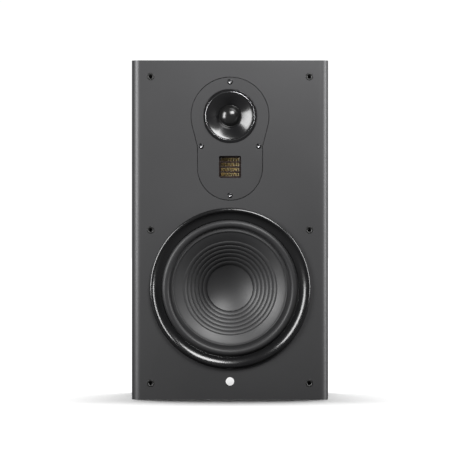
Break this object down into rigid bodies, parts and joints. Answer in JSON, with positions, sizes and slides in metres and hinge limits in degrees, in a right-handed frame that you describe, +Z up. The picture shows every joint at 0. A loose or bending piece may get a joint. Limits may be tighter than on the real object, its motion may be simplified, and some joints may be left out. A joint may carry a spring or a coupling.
{
  "type": "bookshelf speaker",
  "caption": "Bookshelf loudspeaker with a cone woofer, a dome tweeter in a waveguide and a pleated ribbon treble unit in a charcoal cabinet.",
  "frame": {"origin": "on the ground under the middle of the whole object's box", "axes": "+Z up, the drivers face -Y, +X is to the right as seen by a listener in front"},
  "size_m": [0.216, 0.311, 0.373],
  "materials": {
    "cabinet_paint": "fine satin charcoal lacquer over board",
    "plate_paint": "satin charcoal paint over aluminium",
    "bare_board": "raw fibreboard",
    "felt": "needled felt",
    "foam": "closed-cell foam",
    "black_plastic": "fine-textured black moulding",
    "gloss_black": "polished black moulding",
    "badge_enamel": "white enamel",
    "cast_basket": "black powder coat over casting",
    "black_steel": "black oxide steel",
    "surround_rubber": "matte butyl rubber",
    "boot_rubber": "matte rubber",
    "cone_fibre": "satin coated fibre",
    "dome_fabric": "coated silk dome",
    "former_film": "polyimide film",
    "copper_wire": "enamelled copper",
    "spider_cloth": "resin-dipped cloth",
    "plated_steel": "zinc plated",
    "ferrite": "sintered ferrite",
    "fibre_board": "phenolic sheet",
    "tinsel": "braided tinsel",
    "bright_metal": "polished",
    "ribbon_grid_enamel": "dark red-brown enamel",
    "gold_foil": "thin gold foil",
    "circuit_board": "green solder mask",
    "capacitor_film": "wrapped film",
    "ceramic": "cement filled ceramic",
    "cable_sheath": "PVC sheath",
    "gold_plate": "gold plated",
    "red_cap": "red moulding",
    "black_cap": "black moulding"
  },
  "bodies": {
    "cabinet": {"front_baffle": "cabinet_paint", "left_side_panel": "cabinet_paint", "right_side_panel": "cabinet_paint", "top_panel": "cabinet_paint", "bottom_panel": "cabinet_paint", "back_panel": "cabinet_paint", "window_brace": "bare_board", "damping_felt": "felt", "grille_sockets": "black_plastic", "badge": "badge_enamel", "woofer_trim_ring": "gloss_black", "woofer_basket": "cast_basket", "woofer_screws": "black_steel", "woofer_surround": "surround_rubber", "woofer_spider": "spider_cloth", "woofer_top_plate": "plated_steel", "woofer_magnet": "ferrite", "woofer_yoke": "plated_steel", "shorting_ring": "copper_wire", "magnet_boot": "boot_rubber", "woofer_tag_strip": "fibre_board", "tinsel_leads": "tinsel", "treble_plate": "plate_paint", "treble_plate_screws": "black_steel", "treble_gasket": "foam", "waveguide": "gloss_black", "waveguide_ring": "bright_metal", "tweeter_surround": "surround_rubber", "tweeter_top_plate": "plated_steel", "tweeter_magnet": "ferrite", "tweeter_yoke": "plated_steel", "tweeter_rear_chamber": "black_plastic", "ribbon_frame": "black_plastic", "ribbon_grid": "ribbon_grid_enamel", "ribbon_diaphragm": "gold_foil", "ribbon_magnets": "plated_steel", "ribbon_rear_plate": "plated_steel", "crossover_board": "circuit_board", "crossover_inductors": "copper_wire", "crossover_capacitors": "capacitor_film", "crossover_resistors": "ceramic", "crossover_screws": "plated_steel", "internal_cables": "cable_sheath", "port_tube": "black_plastic", "terminal_plate": "black_plastic", "terminal_plate_screws": "black_steel", "post_studs": "gold_plate", "post_collars": "black_plastic", "post_nuts": "plated_steel"},
    "woofer_cone_assembly": {"woofer_cone": "cone_fibre", "dust_cap": "cone_fibre", "voice_coil_former": "former_film", "voice_coil_winding": "copper_wire"},
    "tweeter_dome_assembly": {"tweeter_dome": "dome_fabric", "tweeter_voice_coil": "copper_wire"},
    "red_washer": {"red_post_washer": "gold_plate"},
    "red_cap": {"red_post_cap": "red_cap"},
    "black_washer": {"black_post_washer": "gold_plate"},
    "black_cap": {"black_post_cap": "black_cap"}
  },
  "joints": [
    {"name": "cone_travel", "type": "slide", "parent": "cabinet", "child": "woofer_cone_assembly", "axis": [0, -1, 0], "range_m": [-0.006, 0.006], "stiffness_N_per_m": 1200, "deforming": ["woofer_surround", "woofer_spider", "tinsel_leads"]},
    {"name": "dome_travel", "type": "slide", "parent": "cabinet", "child": "tweeter_dome_assembly", "axis": [0, -1, 0], "range_m": [-0.0003, 0.0003], "stiffness_N_per_m": 200, "deforming": ["tweeter_surround"]},
    {"name": "red_washer_slide", "type": "slide", "parent": "cabinet", "child": "red_washer", "axis": [0, 1, 0], "range_m": [0, 0.004]},
    {"name": "red_cap_turn", "type": "hinge", "parent": "red_washer", "child": "red_cap", "pos_m": [-0.00953, 0.1285, 0.088], "axis": [0, 1, 0], "range_deg": [0, 1440]},
    {"name": "black_washer_slide", "type": "slide", "parent": "cabinet", "child": "black_washer", "axis": [0, 1, 0], "range_m": [0, 0.004]},
    {"name": "black_cap_turn", "type": "hinge", "parent": "black_washer", "child": "black_cap", "pos_m": [0.00953, 0.1285, 0.088], "axis": [0, 1, 0], "range_deg": [0, 1440]}
  ],
  "couplings": [
    {"joint": "red_cap_turn", "follows": "red_washer_slide", "rad_per_m": 6283.2},
    {"joint": "black_cap_turn", "follows": "black_washer_slide", "rad_per_m": 6283.2}
  ]
}
